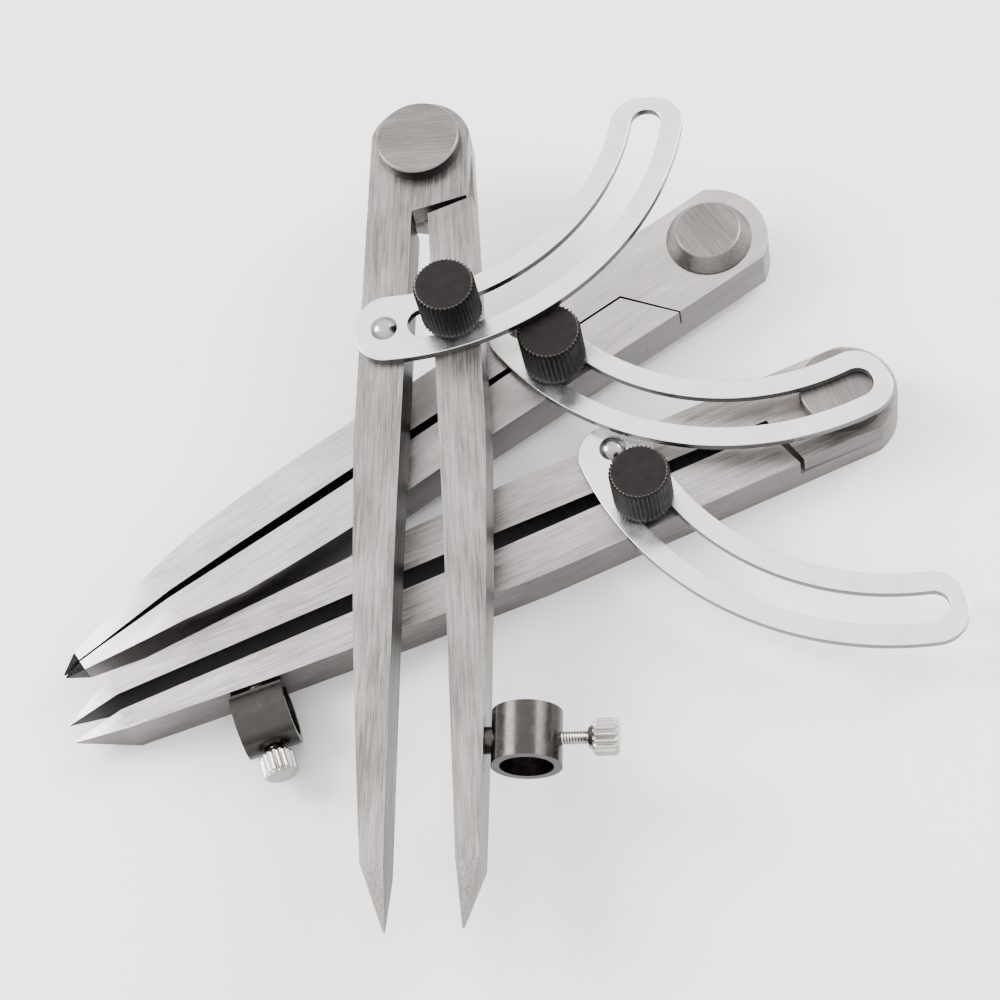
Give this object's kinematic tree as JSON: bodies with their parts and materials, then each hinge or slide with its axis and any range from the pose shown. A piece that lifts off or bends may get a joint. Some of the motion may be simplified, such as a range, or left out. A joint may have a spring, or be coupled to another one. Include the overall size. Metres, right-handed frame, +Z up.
{
  "type": "drafting compass set",
  "caption": "Pile of steel wing compasses and dividers with slotted quadrants, black lock knobs and clamp rings for a pencil.",
  "frame": {"origin": "centre of the bounding box at the surface the pile lies on", "axes": "+Z up from the surface; +X to the heads of the middle and bottom compasses, +Y to the head of the top one"},
  "size_m": [0.2014, 0.1976, 0.0455],
  "materials": {
    "leg_steel": "brushed",
    "bright_plating": "polished",
    "black_oxide": "satin",
    "nickel": "polished",
    "hard_tip": "ground"
  },
  "bodies": {
    "bottom_wing_side": {"bottom_wing_leg": "leg_steel", "bottom_wing": "bright_plating", "bottom_wing_rivet": "bright_plating", "bottom_pivot_rivet": "leg_steel"},
    "bottom_lock_side": {"bottom_lock_leg": "leg_steel", "bottom_pencil_ring": "black_oxide"},
    "bottom_knob": {"bottom_lock_knob": "black_oxide"},
    "bottom_screw": {"bottom_ring_screw": "nickel"},
    "middle_lock_side": {"middle_lock_leg": "leg_steel", "middle_lock_leg_tip": "hard_tip"},
    "middle_wing_side": {"middle_wing_leg": "leg_steel", "middle_wing": "bright_plating", "middle_wing_rivet": "bright_plating", "middle_pivot_rivet": "leg_steel", "middle_pivot_disc": "leg_steel", "middle_wing_leg_tip": "hard_tip"},
    "middle_knob": {"middle_lock_knob": "black_oxide"},
    "top_lock_side": {"top_lock_leg": "leg_steel", "top_pencil_ring": "black_oxide"},
    "top_wing_side": {"top_wing_leg": "leg_steel", "top_wing": "bright_plating", "top_wing_rivet": "bright_plating", "top_pivot_rivet": "leg_steel"},
    "top_knob": {"top_lock_knob": "black_oxide"},
    "top_screw": {"top_ring_screw": "nickel"}
  },
  "joints": [
    {"name": "bottom_pivot", "type": "hinge", "parent": "bottom_wing_side", "child": "bottom_lock_side", "pos_m": [0.08855, -0.00169, 0.0055], "axis": [0, 0, 1], "range_deg": [-1.2, 48.8]},
    {"name": "bottom_knob_turn", "type": "hinge", "parent": "bottom_lock_side", "child": "bottom_knob", "pos_m": [0.03783, -0.01252, 0.0055], "axis": [0, 0, 1], "range_deg": [0, 360]},
    {"name": "bottom_ring_screw_run", "type": "slide", "parent": "bottom_lock_side", "child": "bottom_screw", "axis": [0.0305, -0.9995, 0], "range_m": [0, 0.0051]},
    {"name": "middle_lift", "type": "slide", "parent": "bottom_wing_side", "child": "middle_lock_side", "axis": [0, 0, 1], "range_m": [0, 0.04]},
    {"name": "middle_pivot", "type": "hinge", "parent": "middle_lock_side", "child": "middle_wing_side", "pos_m": [0.07275, 0.04651, 0.0094], "axis": [0, 0, -1], "range_deg": [0, 52]},
    {"name": "middle_knob_turn", "type": "hinge", "parent": "middle_lock_side", "child": "middle_knob", "pos_m": [0.02921, 0.02669, 0.0094], "axis": [0, 0, 1], "range_deg": [0, 360]},
    {"name": "top_lift", "type": "slide", "parent": "middle_lock_side", "child": "top_lock_side", "axis": [0, 0, 1], "range_m": [0, 0.04]},
    {"name": "top_pivot", "type": "hinge", "parent": "top_lock_side", "child": "top_wing_side", "pos_m": [0.01495, 0.08661, 0.0249], "axis": [0, 0, -1], "range_deg": [-4.75, 50.2]},
    {"name": "top_knob_turn", "type": "hinge", "parent": "top_lock_side", "child": "top_knob", "pos_m": [0.00987, 0.03701, 0.0249], "axis": [0, 0, 1], "range_deg": [0, 360]},
    {"name": "top_ring_screw_run", "type": "slide", "parent": "top_lock_side", "child": "top_screw", "axis": [-0.9548, 0.2974, 0], "range_m": [0, 0.0051]}
  ]
}
